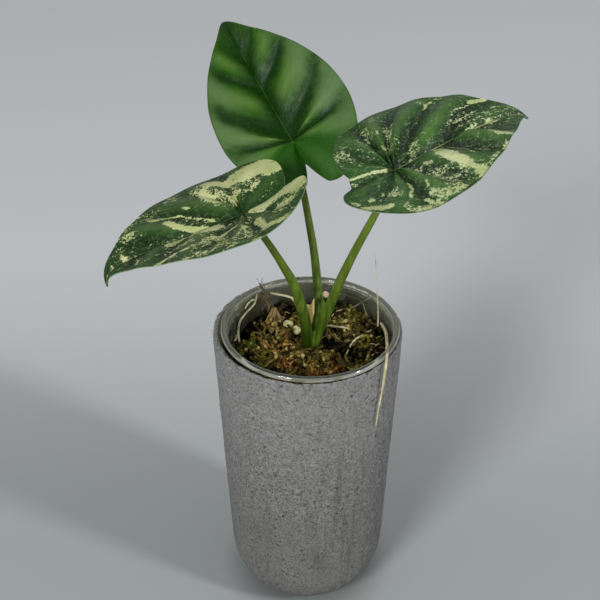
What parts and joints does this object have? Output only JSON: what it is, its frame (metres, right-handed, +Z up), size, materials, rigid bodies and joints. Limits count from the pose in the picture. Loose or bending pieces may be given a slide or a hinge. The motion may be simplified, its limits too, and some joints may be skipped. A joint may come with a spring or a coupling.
{
  "type": "potted variegated alocasia",
  "caption": "Young variegated alocasia with quilted leaves on slim stems, rooted in moss in a clear cup inside a round-bottomed grey stone-look pot.",
  "frame": {"origin": "centre of the pot's flat base, on the surface that it stands on", "axes": "+Z up through the pot; -Y is the front that the picture shows, +X to its right"},
  "size_m": [0.1529, 0.1294, 0.2347],
  "materials": {
    "stone_pot": "matt grey, rough and finely pitted, with a chipped rim",
    "clear_cup": "clear thin plastic with a rolled lip, faintly scratched",
    "moss": "dried sphagnum strands, olive to rust brown, with deep dark gaps",
    "root": "pale cream, slightly fibrous and matt",
    "stem": "smooth mid green, faintly streaked, paler at the edges",
    "leaf_green": "quilted dark green with a soft sheen, darker along the veins",
    "leaf_marbled": "quilted dark green marbled with cream and grey green, soft sheen",
    "dried_leaf": "thin papery tan sheath",
    "perlite": "porous off-white grain",
    "twig": "dark brown dry stalk"
  },
  "bodies": {
    "root": {"outer_pot": "stone_pot", "clear_cup": "clear_cup", "moss_bed": "moss", "crown_and_roots": "root", "stem_back": "stem", "stem_left": "stem", "stem_right": "stem", "blade_back": "leaf_green", "blade_left": "leaf_marbled", "blade_right": "leaf_marbled", "dried_sheath": "dried_leaf", "perlite_front": "perlite", "perlite_left": "perlite", "perlite_back": "perlite", "dry_twig": "twig"}
  },
  "joints": []
}
